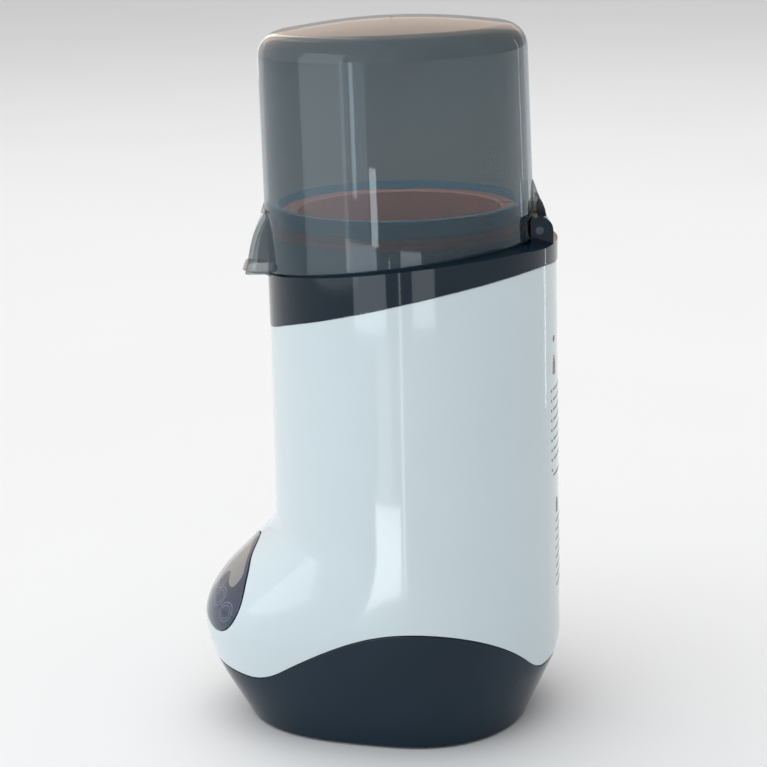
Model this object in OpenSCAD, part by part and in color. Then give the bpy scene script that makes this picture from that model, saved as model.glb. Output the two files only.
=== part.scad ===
// Bottle warmer: a round body with a sloping control foot, a heated well and a hinged hood.
// The front (the foot) faces -Y, the hood's hinge is at +Y, and the feet stand on z = 0.

/* [Body] */
// Radius of the body's wall, extrapolated down to the ground
body_r = 55.7; // [55:0.1:56.5]
// How much the body's radius shrinks per mm of height
body_taper = 0.009; // [0.006:0.001:0.012]
// Thickness of the white shell's wall
shell_wall = 2.5; // [2:0.1:3]
// Thickness of the dark base's wall
base_wall = 2.4; // [2:0.1:3]
// Gap left along each visible joint line
seam = 0.3; // [0.2:0.1:0.5]

/* [Foot] */
// Furthest reach of the foot in front of the body's axis
foot_reach = 84.5; // [83:0.5:86]
// Reach of the footprint in front of the body's axis
footprint_front = 67.3; // [65:0.5:69]
// Half the width of the footprint
footprint_side = 44; // [42:0.5:46]
// Reach of the footprint behind the body's axis
footprint_rear = 42.2; // [41:0.2:44]
// How sharply the foot narrows to its nose
foot_narrowing = 3.5; // [3:0.1:4.5]

/* [Neck and well] */
// How far the neck and the well sit in front of the body's axis
neck_offset = 4.5; // [4:0.1:5]
// Outer radius of the neck that the hood closes over
neck_r = 47.3; // [46.8:0.1:47.3]
// Height of the neck's rim
neck_top = 203.3; // [202:0.1:204]
// Outer radius of the heated cup
cup_r = 42; // [41:0.5:42]
// Height of the heated cup's underside
cup_bottom = 100; // [98:0.5:104]

/* [Hood] */
// Outer radius of the hood at its lower edge
hood_r = 50.4; // [50.3:0.1:50.5]
// Thickness of the hood's wall
hood_wall = 1.6; // [1.4:0.1:1.6]
// Height of the hood's crown
hood_top = 270.7; // [268:0.5:273]
// How far the hood leans forward, in degrees
hood_lean = 1.1; // [0:0.1:1.2]
// Height of the hinge pin
hinge_z = 193.5; // [193:0.1:194]
// Distance of the hinge pin behind the body's axis
hinge_y = 46.4; // [46:0.1:46.6]
// Radius of the hinge pin
pin_r = 1.5; // [1.4:0.05:1.6]
// Half the width of the hinge across its two ears
hinge_half = 17.7; // [16:0.1:19]

/* [Hidden] */
$fn = 96;

// The origin is under the middle of the overall box, so the body's axis lies behind it.
axis_y = 14.3;

turn_steps = 72;         // facets round the shells
shell_rows = 14;         // rows of facets up the foot, where the shape changes fast
tube_rows = 3;           // rows of facets up the plain tube above it
foot_top = 90;           // height where the foot has died out into the tube
ground_gap = 0.8;        // height of the base's edge above the ground
plate_top = 3.6;         // top of the base plate
arch_low = 25.3;         // lowest height of the joint between white shell and dark base
arch_rise = 25.8;        // how much that joint rises at the middle of each side
arch_mid = 86;           // angle from the front at which it is highest
collar_r = body_r - body_taper * 170 + 0.25;
collar_wall = 2.4;
ledge_gap = 0.7;         // clearance between the hood's edge and the collar's ledge
neck_wall = 2.2;
lip_r = cup_r + 1;       // inner radius of the lip that carries the cup
lip_top = 196;
frame_top = 73;          // top of the support frame's ring
plate_drop = 6;          // thickness of the heating plate
coil_r = 26;             // radius of the heater's ring
tube_r = 3.3;            // radius of the heater's tube
stack_r = 34;            // radius of the ring of long screws under the heater
stack_turns = [90, 225, 315]; // where those screws stand round the ring
board_z = 12;
board_t = 1.6;
board_half = [26, 29];
board_y = -5;
inlet_z = 18;
inlet_half = [10, 7];
inlet_face = 46.2;
pin_pitch = 8.6;
panel_at = [0, -62, 56]; // centre of the control board, on its lower face
panel_tilt = 45;
barrel_r = 2.8;
ear_r = 5;
ear_front = 3.3;         // how far the ears reach in front of the pin
lean_z = 190.4;          // height about which the hood leans
barrel_half = 8.7;
tab_half = 11;
leg_places = [[32, -20], [-32, -20], [34, 4], [-34, 4]];
foot_places = [[20, -44], [-20, -44], [20, 24], [-20, 24]];
post_places = [[22, -30], [-22, -30], [22, 20], [-22, 20]];

// ---- Curves that the shells share ----

function soft_min(a, b, k) = min(a, b) - pow(max(k - abs(a - b), 0), 2) / (4 * k);
function soft_max(a, b, k) = -soft_min(-a, -b, k);
function tube_r_at(z) = body_r - body_taper * z;
function rear_at(z) = soft_min(footprint_rear + 0.472 * z, tube_r_at(z), 3);
function side_at(z) = soft_min(footprint_side + 0.26 * z, tube_r_at(z), 2.5);
function slope_at(z) = 138.5 - 1.055 * z;
function under_at(z) = soft_min(foot_reach, footprint_front + 0.56 * z, 8);
function nose_at(z) = soft_max(soft_min(under_at(z), slope_at(z), 12), tube_r_at(z), 4);

// Radius of the outside at an angle from the front and a height.
function skin_r(a, z) = let (c = cos(a))
    side_at(z)
    + (c > 0 ? (nose_at(z) - side_at(z)) * pow(c, foot_narrowing) : 0)
    + (c < 0 ? (rear_at(z) - side_at(z)) * pow(-c, 2.5) : 0);
function skin_point(a, z, inset) = let (r = skin_r(a, z) - inset) [r * sin(a), -r * cos(a), z];

// Height of the joint between the white shell and the dark base.
function folded(a) = let (w = abs(a - 360 * round(a / 360))) w;
function arch_at(a) = let (w = folded(a), u = (w - arch_mid) / (w < arch_mid ? 56 : 60))
    soft_max(arch_low, arch_low + arch_rise * (1 - u * u), 6);

// Heights along the side view of the collar's lower edge and of the hood's lower edge.
function collar_low(y) = 176.3 + 0.21 * y - 0.0014 * y * y - 3 * pow(min(abs(y) / 54, 1), 12);
function hood_low(y) = let (v = y + neck_offset)
    187.4 + 0.105 * v - 0.00088 * v * v - 1.3 * pow(min(abs(v) / 50, 1), 12);
function body_top_at(a) = collar_low(-tube_r_at(170) * cos(a)) - seam;

// ---- Building blocks ----

module on_body() translate([0, axis_y, 0]) children();
module on_well() translate([0, -neck_offset, 0]) children();
module on_panel() translate(panel_at) rotate([panel_tilt, 0, 0]) children();
module along_x(half) rotate([90, 0, 90]) translate([0, 0, -half]) linear_extrude(2 * half) children();
module at_each(places, z) for (p = places) translate([p[0], p[1], z]) children();
module ring(r_out, r_in, z0, z1) translate([0, 0, z0]) rotate_extrude()
    translate([r_in, 0]) square([r_out - r_in, z1 - z0]);
module block(size, at) translate([at[0] - size[0] / 2, at[1] - size[1] / 2, at[2]]) cube(size);

// A closed skin between two faceted surfaces. level(a, k) gives the height of row k at angle a.
module skin(level, rows, wall) {
    n = turn_steps;
    m = rows + 1;
    angles = [for (i = [0:n - 1]) i * 360 / n];
    outside = [for (k = [0:rows], a = angles) skin_point(a, level(a, k), 0)];
    inside = [for (k = [0:rows], a = angles) skin_point(a, level(a, k), wall)];
    function id(side, k, i) = side * m * n + k * n + (i % n);
    function quad(a, b, c, d) = [[a, b, c], [a, c, d]];
    faces = [for (i = [0:n - 1])
        each concat(
            [for (k = [0:rows - 1], t = quad(id(0, k, i), id(0, k + 1, i),
                id(0, k + 1, i + 1), id(0, k, i + 1))) t],
            [for (k = [0:rows - 1], t = quad(id(1, k, i), id(1, k, i + 1),
                id(1, k + 1, i + 1), id(1, k + 1, i))) t],
            quad(id(0, 0, i), id(0, 0, i + 1), id(1, 0, i + 1), id(1, 0, i)),
            quad(id(0, rows, i), id(1, rows, i), id(1, rows, i + 1), id(0, rows, i + 1)))];
    polyhedron(points = concat(outside, inside), faces = faces, convexity = 6);
}

// Half of the control panel's outline in the front view, from the top down.
panel_half = [[0, 72.6], [4, 72], [8.2, 70.3], [13, 67.7], [18, 65.1], [22.2, 61.9],
    [25.6, 58.2], [27.8, 54], [28.3, 49.8], [27.4, 46], [25.2, 43.1], [22, 41.5], [18, 41.1],
    [13, 42], [7, 43.6], [0, 44.6]];
module panel_outline() polygon(concat(panel_half,
    [for (i = [len(panel_half) - 2:-1:1]) [-panel_half[i][0], panel_half[i][1]]]));
module panel_prism(grow) translate([0, -40, 0]) rotate([90, 0, 0]) linear_extrude(60)
    offset(delta = grow) panel_outline();

// A wire through a list of points.
module wire(points, r) {
    for (i = [0:len(points) - 2]) {
        a = points[i];
        d = points[i + 1] - a;
        translate(a) rotate([0, acos(d[2] / norm(d)), atan2(d[1], d[0])]) cylinder(r = r, h = norm(d), $fn = 24);
    }
    for (i = [1:len(points) - 2]) translate(points[i]) sphere(r = 1.12 * r, $fn = 24);
}

// ---- Housing ----

module outer_shell() on_body() color("aliceblue") difference() {
    skin(function (a, k) k <= shell_rows
            ? arch_at(a) + seam / 2 + (foot_top - arch_at(a)) * k / shell_rows
            : foot_top + (body_top_at(a) - foot_top) * (k - shell_rows) / tube_rows,
        shell_rows + tube_rows, shell_wall);
    panel_prism(seam);
}

module base_shell() on_body() color("darkslategray") difference() {
    skin(function (a, k) ground_gap + (arch_at(a) - seam / 2 - ground_gap) * k / 8, 8, base_wall);
    block([2 * inlet_half[0] + 0.6, 30, 2 * inlet_half[1] + 0.6],
        [0, 50, inlet_z - inlet_half[1] - 0.3]);
}

module base_plate() on_body() color("dimgray") difference() {
    union() {
        translate([0, 0, ground_gap]) linear_extrude(plate_top - ground_gap)
            polygon([for (i = [0:turn_steps - 1]) let (a = i * 360 / turn_steps,
                p = skin_point(a, ground_gap, base_wall + 0.4)) [p[0], p[1]]]);
        at_each(post_places, plate_top) cylinder(r = 3, h = board_z - plate_top);
    }
    at_each(leg_places, 0) cylinder(r = 1.7, h = 8);
    at_each(leg_places, 0) cylinder(r = 3.3, h = 2.4);
    at_each(foot_places, 0) cylinder(r = 7.2, h = 2.2);
    at_each(post_places, 6) cylinder(r = 1.25, h = 10);
    for (i = [-2:2]) block([2, 22, 8], [i * 5, -12, 0]);
}

module rubber_feet() on_body() color("black") at_each(foot_places, 0) rotate_extrude()
    polygon([[0, 0], [6.2, 0], [6.9, 0.7], [6.9, 2.2], [0, 2.2]]);

module base_screws() on_body() color("silver") at_each(leg_places, 0) union() {
    difference() {
        translate([0, 0, 0.9]) cylinder(r = 3, h = 1.5);
        block([4.4, 0.8, 0.8], [0, 0, 0.8]);
        block([0.8, 4.4, 0.8], [0, 0, 0.8]);
    }
    translate([0, 0, 2.4]) cylinder(r = 1.45, h = 11);
}

module support_frame() on_body() color("gainsboro") difference() {
    union() {
        translate([0, -neck_offset, frame_top - 3]) cylinder(r = 46, h = 3);
        at_each(leg_places, plate_top) cylinder(r = 4.5, h = frame_top - plate_top - 1);
    }
    translate([0, -neck_offset, frame_top - 4]) cylinder(r = 24, h = 6);
    at_each(leg_places, plate_top - 1) cylinder(r = 1.5, h = 14);
    on_well() stack_holes(1.8, frame_top - 4, 6);
}

// ---- Collar, neck and hinge ----

// Side view of the band between two heights given along Y.
module side_band(low, high) along_x(60) polygon(concat(
    [for (y = [-60:4:60]) [y, low(y)]],
    [for (y = [60:-4:-60]) [y, high(y)]]));

module ear_shape() {
    difference() {
        translate([hinge_y, hinge_z]) circle(r = ear_r);
        translate([hinge_y - 20, 180]) square([20 - ear_front, 40]);
    }
    translate([hinge_y - ear_front, 184]) square([ear_front + ear_r, hinge_z - 184]);
}

// The band that shows, with the ledge under the hood's edge; it is hollow underneath.
module collar_band() difference() {
    intersection() {
        cylinder(r = collar_r, h = 220);
        side_band(function (y) collar_low(y), function (y) hood_low(y) - ledge_gap);
    }
    intersection() {
        cylinder(r = collar_r - collar_wall, h = 220);
        side_band(function (y) 100, function (y) hood_low(y) - ledge_gap - 2.4);
    }
    on_well() cylinder(r = neck_r - 1.1, h = 220);
}

// Two ears carry the hinge pin, and a trough between them clears the lid's barrel.
module hinge_ears() difference() {
    intersection() {
        cylinder(r = collar_r, h = 220);
        union() {
            along_x(hinge_half) ear_shape();
            along_x(hinge_half) translate([hinge_y - 4.6, 183.4]) square([9.6, 4]);
        }
    }
    on_well() cylinder(r = neck_r - 0.6, h = 220);
}

module neck() on_well() rotate_extrude() polygon([[neck_r - neck_wall, 174], [neck_r, 174],
    [neck_r, neck_top - 1.5], [neck_r - 0.6, neck_top - 0.3], [neck_r - 1.2, neck_top],
    [neck_r - neck_wall, neck_top], [neck_r - neck_wall, lip_top], [lip_r, lip_top],
    [lip_r, lip_top - 3], [neck_r - neck_wall, lip_top - 5]]);

module collar() on_body() color("midnightblue") difference() {
    union() {
        collar_band();
        hinge_ears();
        neck();
    }
    along_x(barrel_half + 0.4) translate([hinge_y, hinge_z]) circle(r = barrel_r + 0.6);
    along_x(barrel_half + 0.4) translate([hinge_y - 3.4, hinge_z]) square([12, 20]);
    along_x(barrel_half + 0.4) translate([hinge_y, hinge_z - 5]) square([12, 20]);
    along_x(30) translate([hinge_y, hinge_z]) circle(r = pin_r + 0.01);
}

module neck_seal() on_body() color("sienna") on_well() rotate_extrude() polygon([
    [neck_r + 0.02, 192.4], [neck_r + 0.4, 192.4], [neck_r + 0.5, 192.7], [neck_r + 0.5, 193.9],
    [neck_r + 0.2, 194.4], [neck_r + 0.2, 195], [neck_r + 0.5, 195.5], [neck_r + 0.5, 196.7],
    [neck_r + 0.4, 197], [neck_r + 0.02, 197]]);

module hinge_pin() on_body() color("gray") along_x(hinge_half - 0.1)
    translate([hinge_y, hinge_z]) circle(r = pin_r);

// ---- Hood ----

hood_edge = 9;           // rounding of the crown's edge
crown_rise = 3.4;        // how much the crown rises inside that edge
hood_shrink = 1.1;       // how much narrower the hood is at its top than at its bottom
function crown(inset, steps) = let (
    top = hood_top - inset, r = hood_r - hood_shrink - inset, e = hood_edge - inset / 2,
    edge_z = top - crown_rise - e, flat = r - e)
    concat([for (i = [0:steps]) [flat + e * cos(90 * i / steps), edge_z + e * sin(90 * i / steps)]],
        [for (i = [1:steps]) [flat * (1 - i / steps), edge_z + e + crown_rise * (1 - pow(1 - i / steps, 2))]]);
module hood_cup(inset) rotate_extrude() polygon(concat([[0, 150], [hood_r + 0.4 - inset, 150]],
    crown(inset, 8)));

module hood() on_body() color("lightsteelblue", 0.5) difference() {
    union() {
        translate([0, -neck_offset, lean_z]) rotate([hood_lean, 0, 0])
            translate([0, 0, -lean_z]) hood_cup(0);
        along_x(tab_half) polygon([[-50, 199.8], [-55.3, 199.8], [-57.2, 196.8], [-58.7, 193.6],
            [-60.1, 189.3], [-61.4, 184], [-62.4, 178.6], [-50, 178.6]]);
        along_x(7) polygon([[43, 210.5], [45.2, 210.2], [45.7, 208.6], [46.7, 205.6], [47.4, 204],
            [46.5, 203.5], [46.2, 199], [43, 199]]);
    }
    translate([0, -neck_offset, lean_z]) rotate([hood_lean, 0, 0])
        translate([0, 0, -lean_z]) hood_cup(hood_wall);
    difference() {
        along_x(tab_half - 1.8) polygon([[-55.5, 196], [-56.9, 193.6], [-58.3, 189.3],
            [-59.6, 184], [-60.7, 176], [-50, 176], [-50, 196]]);
        translate([0, -neck_offset, lean_z]) rotate([hood_lean, 0, 0])
            translate([0, 0, -lean_z]) hood_cup(0);
    }
    intersection() {
        side_band(function (y) 100, function (y) hood_low(y));
        translate([0, -neck_offset, 0]) cylinder(r = 53, h = 300);
    }
    along_x(hinge_half + 0.6) {
        translate([hinge_y, hinge_z]) circle(r = ear_r + 0.5);
        translate([hinge_y - 6, 170]) square([20, hinge_z - 170]);
    }
}

module lid_hinge() on_body() color("black") difference() {
    union() {
        along_x(barrel_half) translate([hinge_y, hinge_z]) circle(r = barrel_r);
        along_x(barrel_half) polygon([[44.4, 195], [44.4, 196.6], [46.5, 199.2], [46.7, 203.1],
            [47.5, 203.5], [48.3, 202.2], [49.2, 199.8], [49.7, 196.8], [49.5, 194.5], [49.1, 193]]);
    }
    along_x(30) translate([hinge_y, hinge_z]) circle(r = pin_r + 0.06);
    intersection() {
        translate([0, -neck_offset, lean_z]) rotate([hood_lean, 0, 0])
            translate([0, 0, -lean_z]) hood_cup(-0.1);
        translate([-30, 0, hinge_z + 4.6]) cube([60, 60, 20]);
    }
}

// ---- Well, basket and heater ----

module cup_gasket() on_body() color("firebrick") on_well()
    ring(neck_r - neck_wall - 0.3, lip_r + 0.2, lip_top, lip_top + 1);

module chamber_cup() on_body() color("silver") on_well() difference() {
    rotate_extrude() polygon([[0, cup_bottom], [cup_r - 4, cup_bottom], [cup_r - 1.2, cup_bottom + 1.2],
        [cup_r, cup_bottom + 4], [cup_r, lip_top + 1], [neck_r - neck_wall - 0.3, lip_top + 1],
        [neck_r - neck_wall - 0.3, lip_top + 2.4], [cup_r - 1.5, lip_top + 2.4],
        [cup_r - 1.5, cup_bottom + 4.6], [cup_r - 4.4, cup_bottom + 1.8], [0, cup_bottom + 1.8]]);
    cylinder(r = 3.6, h = 150);
}

module bottle_basket() on_body() color("rosybrown") on_well() difference() {
    rotate_extrude() polygon([[0, 105], [36, 105], [38.8, 107], [39.6, 110], [39.6, 198.7],
        [43.6, 198.7], [44, 199.2], [44, 200.2], [43.4, 200.7], [38.6, 200.7], [38, 200],
        [38, 110.5], [37, 107.6], [35, 106.8], [0, 106.8]]);
    cylinder(r = 9, h = 300);
    for (i = [0:11]) rotate([0, 0, 30 * i]) translate([0, 24, 100]) slot_cut();
    for (s = [0, 180]) rotate([0, 0, s]) translate([41, -8, 198]) cube([8, 16, 4]);
}
module slot_cut() {
    translate([0, 6, 0]) cylinder(r = 2, h = 20);
    translate([-2, -5, 0]) cube([4, 11, 20]);
    translate([0, -5, 0]) cylinder(r = 2, h = 20);
}

module heating_plate() on_body() color("lightgray") on_well() difference() {
    translate([0, 0, cup_bottom - plate_drop]) cylinder(r = 37.5, h = plate_drop);
    cylinder(r = 6.5, h = 150);
    stack_holes(1.55, cup_bottom - plate_drop - 1, 5.5);
}

module heater_element() on_body() color("slategray") on_well() {
    z = cup_bottom - plate_drop - tube_r;
    union() {
        translate([0, 0, z]) rotate([0, 0, 110]) rotate_extrude(angle = 320)
            translate([coil_r, 0]) circle(r = tube_r);
        for (a = [110, 70]) rotate([0, 0, a]) translate([coil_r, 0, z - 9]) cylinder(r = 2.2, h = 9);
    }
}

module thermostat() on_body() color("goldenrod") on_well() {
    z = cup_bottom - plate_drop;
    difference() {
        union() {
            translate([13, 0, z - 6.5]) cylinder(r = 7.6, h = 6.5);
            for (s = [-1, 1]) block([0.8, 5, 7], [13 + s * 3.6, 0, z - 13]);
        }
        translate([13, 0, z - 7]) cylinder(r = 2, h = 1.5);
    }
}

module thermal_fuse() on_body() color("ivory") on_well()
    translate([-13, -7, cup_bottom - plate_drop - 2.2]) rotate([-90, 0, 0]) union() {
        cylinder(r = 2, h = 14);
        translate([0, 0, -5]) cylinder(r = 0.5, h = 24);
    }

module ntc_sensor() on_body() color("gold") on_well() {
    translate([0, 0, cup_bottom - 8]) cylinder(r = 3.4, h = 9.8);
    translate([0, 0, cup_bottom - plate_drop - 4]) cylinder(r = 4.6, h = 3);
}

module heat_shield() on_body() color("lightsteelblue") on_well() difference() {
    rotate_extrude() polygon([[10, frame_top], [39, frame_top], [41, frame_top + 2], [41, cup_bottom - 7],
        [40.2, cup_bottom - 7], [40.2, frame_top + 2.4], [38.6, frame_top + 0.8], [10, frame_top + 0.8]]);
    stack_holes(1.8, frame_top - 1, 4);
}

module stack_holes(r, z, h) for (a = stack_turns) rotate([0, 0, a])
    translate([stack_r, 0, z]) cylinder(r = r, h = h);

module stack_screws() on_body() color("silver") on_well() {
    head = frame_top - 3;
    for (a = stack_turns) rotate([0, 0, a]) translate([stack_r, 0, 0]) union() {
        difference() {
            translate([0, 0, head - 2]) cylinder(r = 3, h = 2);
            block([4.4, 0.8, 0.8], [0, 0, head - 2]);
            block([0.8, 4.4, 0.8], [0, 0, head - 2]);
        }
        translate([0, 0, head]) cylinder(r = 1.5, h = cup_bottom - plate_drop + 4 - head);
    }
}

// ---- Power supply ----

module power_board() on_body() color("darkgreen") difference() {
    block([2 * board_half[0], 2 * board_half[1], board_t], [0, board_y, board_z]);
    at_each(post_places, 0) cylinder(r = 1.4, h = 20);
}

module board_screws() on_body() color("silver") at_each(post_places, 0) union() {
    translate([0, 0, board_z + board_t]) cylinder(r = 2.6, h = 1.6);
    translate([0, 0, 6.6]) cylinder(r = 1.2, h = board_z + board_t - 6.6);
}

board_top = board_z + board_t;
module relay() on_body() color("royalblue") block([19, 15.5, 15.5], [-12, -14, board_top]);
module transformer() on_body() color("khaki") {
    union() {
        block([20, 7, 17], [-10, 8, board_top]);
        block([14, 16, 12], [-10, 8, board_top + 2.5]);
    }
}
module film_capacitor() on_body() color("gold") block([18, 8.5, 15], [12, 13, board_top]);
module electrolytic_capacitor() on_body() color("navy") translate([10, 0, board_top]) cylinder(r = 5, h = 16);
module terminal_block() on_body() color("green") difference() {
    block([15, 10, 12], [12, -22, board_top]);
    for (s = [-1, 1]) translate([12 + 3.7 * s, -22, board_top + 4]) cylinder(r = 2.2, h = 12);
}

module power_inlet() on_body() color("black") difference() {
    translate([-inlet_half[0], 31, inlet_z - inlet_half[1]])
        cube([2 * inlet_half[0], inlet_face - 31, 2 * inlet_half[1]]);
    for (s = [-1, 1]) translate([s * pin_pitch / 2, inlet_face + 1, inlet_z])
        rotate([90, 0, 0]) cylinder(r = 4.2, h = 12);
    translate([-pin_pitch / 2, inlet_face - 11, inlet_z - 2.7]) cube([pin_pitch, 12, 5.4]);
    for (s = [-1, 1]) translate([s * pin_pitch / 2, inlet_face, inlet_z])
        rotate([90, 0, 0]) cylinder(r = 1.2, h = 30);
}

module inlet_pins() on_body() color("silver") for (s = [-1, 1])
    translate([s * pin_pitch / 2, inlet_face - 1.5, inlet_z]) rotate([90, 0, 0]) cylinder(r = 1.19, h = 17);

module heater_leads() on_body() color("crimson") for (s = [-1, 1])
    wire([[12 + 3.7 * s, -22, board_top + 5], [12 + 3.7 * s, -22, 40], [3 * s, -4.5, 60],
        [3 * s, -4.5, 79.5], [8.9 * s, 19.9, 79.5], [8.9 * s, 19.9, 81.6]], 1.1);

// ---- Control panel ----

module control_panel() on_body() color("midnightblue") intersection() {
    skin(function (a, k) 36 + 42 * k / 12, 12, 1.8);
    panel_prism(0);
}

module panel_bracket() on_body() color("dimgray") on_panel() difference() {
    block([46, 33, 2], [0, 0, -2.4]);
    block([34, 22, 6], [0, 0, -4]);
    for (s = [-1, 1]) translate([19.5 * s, 0, -4]) cylinder(r = 1.2, h = 8);
}

module control_board() on_body() color("darkgreen") on_panel() difference() {
    block([42, 29, board_t], [0, 0, -0.4]);
    for (s = [-1, 1]) translate([19.5 * s, 0, -1]) cylinder(r = 1.4, h = 4);
}

module panel_screws() on_body() color("silver") on_panel() for (s = [-1, 1])
    translate([19.5 * s, 0, 0]) union() {
        translate([0, 0, board_t - 0.4]) cylinder(r = 2, h = 1.2);
        translate([0, 0, -2.4]) cylinder(r = 1.15, h = board_t + 2);
    }

module display_module() on_body() color("lightgray") on_panel()
    block([30, 14, 3.2], [0, 6.5, board_t - 0.4]);

// One spring under each touch button; each entry is its place across, its place up and its height.
button_places = [[-16, -11, 4.4], [-5.5, -9, 8], [5.5, -9, 8], [16, -11, 4.4]];
module touch_springs() on_body() color("gold") on_panel() for (p = button_places)
    translate([p[0], p[1], board_t - 0.4]) rotate_extrude() translate([1.9, 0]) square([0.7, p[2]]);

module buzzer() on_body() color("black") on_panel() translate([-9, -5, -6.4]) cylinder(r = 4.5, h = 6);

module panel_ribbon() on_body() color("white") {
    union() {
        translate([-2, -60, 44.6]) cube([10, 1, 12.2]);
        translate([-2, -60, 43.6]) cube([10, 30.9, 1]);
        translate([-2, -30.1, board_top]) cube([10, 1, 31]);
    }
}

outer_shell();
base_shell();
base_plate();
rubber_feet();
base_screws();
collar();
neck_seal();
hinge_pin();
cup_gasket();
chamber_cup();
bottle_basket();
heating_plate();
heater_element();
thermostat();
thermal_fuse();
ntc_sensor();
heat_shield();
support_frame();
stack_screws();
power_board();
board_screws();
relay();
transformer();
film_capacitor();
electrolytic_capacitor();
terminal_block();
power_inlet();
inlet_pins();
heater_leads();
panel_ribbon();
control_panel();
panel_bracket();
control_board();
display_module();
touch_springs();
panel_screws();
buzzer();
hood();
lid_hinge();
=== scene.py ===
# The bottle warmer: detailed housing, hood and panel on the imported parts, with light and camera.
import math

import bmesh
import bpy
import numpy as np
from mathutils import Matrix, Vector
from mathutils.geometry import delaunay_2d_cdt


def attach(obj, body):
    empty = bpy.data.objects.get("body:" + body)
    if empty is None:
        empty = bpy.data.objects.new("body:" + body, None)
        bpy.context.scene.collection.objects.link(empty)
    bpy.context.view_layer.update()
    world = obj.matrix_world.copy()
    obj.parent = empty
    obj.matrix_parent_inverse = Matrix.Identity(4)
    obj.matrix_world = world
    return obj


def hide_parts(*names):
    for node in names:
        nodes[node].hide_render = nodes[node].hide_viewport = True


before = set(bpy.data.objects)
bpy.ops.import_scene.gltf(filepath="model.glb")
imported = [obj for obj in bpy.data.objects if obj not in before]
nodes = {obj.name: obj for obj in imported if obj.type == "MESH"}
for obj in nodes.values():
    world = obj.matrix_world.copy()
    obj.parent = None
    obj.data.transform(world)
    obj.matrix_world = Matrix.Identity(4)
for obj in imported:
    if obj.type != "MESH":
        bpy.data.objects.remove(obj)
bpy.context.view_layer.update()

MM = 0.001
AXIS_Y = 14.3        # the body's round axis stands this far behind the frame's origin
WELL_Y = -4.5        # the well, neck and hood stand this far in front of the body's axis
GROUND_GAP = 0.8     # the skirt stands this far off the ground, on the rubber feet
SEAM = 0.3           # gap between neighbouring housings
HINGE = (46.4, 193.5)  # Y and Z of the hinge pin
LEAN_Z = 190.4       # the hood leans forward about this height
NOTCH_R = 5.5        # the hood is cut away about this far round the pin, for the ears
NOTCH_HALF = 18.3    # half the width of that cut
INLET_HALF = 10.6    # half the width of the base's cut-out for the inlet
INLET_LOW = 10.4     # lowest height of that cut-out
BASE_REAR_R = 50.2   # radius of the base at the inlet
HOOD_LOW_R = 50.2    # radius of the hood near the pin


# ---- Shape of the housing, in millimetres about the body's axis ----

def soft_min(a, b, k):
    return min(a, b) - max(k - abs(a - b), 0) ** 2 / (4 * k)


def soft_max(a, b, k):
    return -soft_min(-a, -b, k)


def skin_r(a, z):
    """Radius of the skin at angle a from the front and height z."""
    tube = 55.7 - 0.009 * z
    rear = soft_min(42.2 + 0.472 * z, tube, 3)
    side = soft_min(44 + 0.26 * z, tube, 2.5)
    under = soft_min(84.5, 67.3 + 0.56 * z, 8)
    nose = soft_max(soft_min(under, 138.5 - 1.055 * z, 12), tube, 4)
    c = math.cos(a)
    if c > 0:
        return side + (nose - side) * c ** 3.5
    return side + (rear - side) * (-c) ** 2.5


def skin(a, z, inset=0.0):
    r = skin_r(a, z) - inset
    return Vector((r * math.sin(a), -r * math.cos(a), z))


def skin_normal(a, z):
    e = 0.02
    along = skin(a + e / 50, z) - skin(a - e / 50, z)
    up = skin(a, z + e) - skin(a, z - e)
    return along.cross(up).normalized()


def arch_at(a):
    """Height of the joint between the white shell and the dark base."""
    w = abs(math.degrees(math.atan2(math.sin(a), math.cos(a))))
    u = (w - 86) / (56 if w < 86 else 60)
    return soft_max(25.3, 25.3 + 25.8 * (1 - u * u), 6)


def collar_low(y):
    return 176.3 + 0.21 * y - 0.0014 * y * y - 3 * min(abs(y) / 54, 1) ** 12


def hood_low(y):
    v = y - WELL_Y
    return 187.4 + 0.105 * v - 0.00088 * v * v - 1.3 * min(abs(v) / 50, 1) ** 12


def shell_top(a):
    return collar_low(-(55.7 - 0.009 * 170) * math.cos(a)) - SEAM


def angle_for(x, z):
    """Angle round the front of the skin at which it has this X."""
    low, high = -1.2, 1.2
    for _ in range(40):
        mid = (low + high) / 2
        if skin_r(mid, z) * math.sin(mid) < x:
            low = mid
        else:
            high = mid
    return (low + high) / 2


# ---- Mesh making ----

def place(p):
    return Vector((p[0] * MM, (p[1] + AXIS_Y) * MM, p[2] * MM))


def make_object(name, verts, faces, materials=(), face_material=None, normals=None, sharp=35):
    mesh = bpy.data.meshes.new(name)
    mesh.from_pydata([tuple(place(v)) for v in verts], [], faces)
    mesh.validate()
    for m in materials:
        mesh.materials.append(m)
    if face_material is not None:
        mesh.polygons.foreach_set("material_index", face_material)
    mesh.polygons.foreach_set("use_smooth", [True] * len(mesh.polygons))
    mesh.set_sharp_from_angle(angle=math.radians(sharp))
    if normals is not None:
        mesh.normals_split_custom_set_from_vertices(normals)
    obj = bpy.data.objects.new(name, mesh)
    bpy.context.scene.collection.objects.link(obj)
    return obj


def inside(p, loop):
    x, y = p
    hit = False
    for (x0, y0), (x1, y1) in zip(loop, loop[1:] + loop[:1]):
        if (y0 > y) != (y1 > y) and x < (x1 - x0) * (y - y0) / (y1 - y0) + x0:
            hit = not hit
    return hit


def near_loop(p, loop, gap):
    q = np.array(loop)
    a, b = q, np.roll(q, -1, axis=0)
    d = b - a
    t = np.clip(((p - a) * d).sum(1) / np.maximum((d * d).sum(1), 1e-12), 0, 1)
    return (((a + d * t[:, None] - p) ** 2).sum(1) < gap * gap).any()


def grow(loop, d):
    """A closed outline moved outwards by d; it runs anticlockwise."""
    out = []
    n = len(loop)
    for i in range(n):
        (x0, y0), (x1, y1) = loop[i - 1], loop[(i + 1) % n]
        tx, ty = x1 - x0, y1 - y0
        length = math.hypot(tx, ty) or 1
        out.append((loop[i][0] + d * ty / length, loop[i][1] - d * tx / length))
    return out


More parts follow.
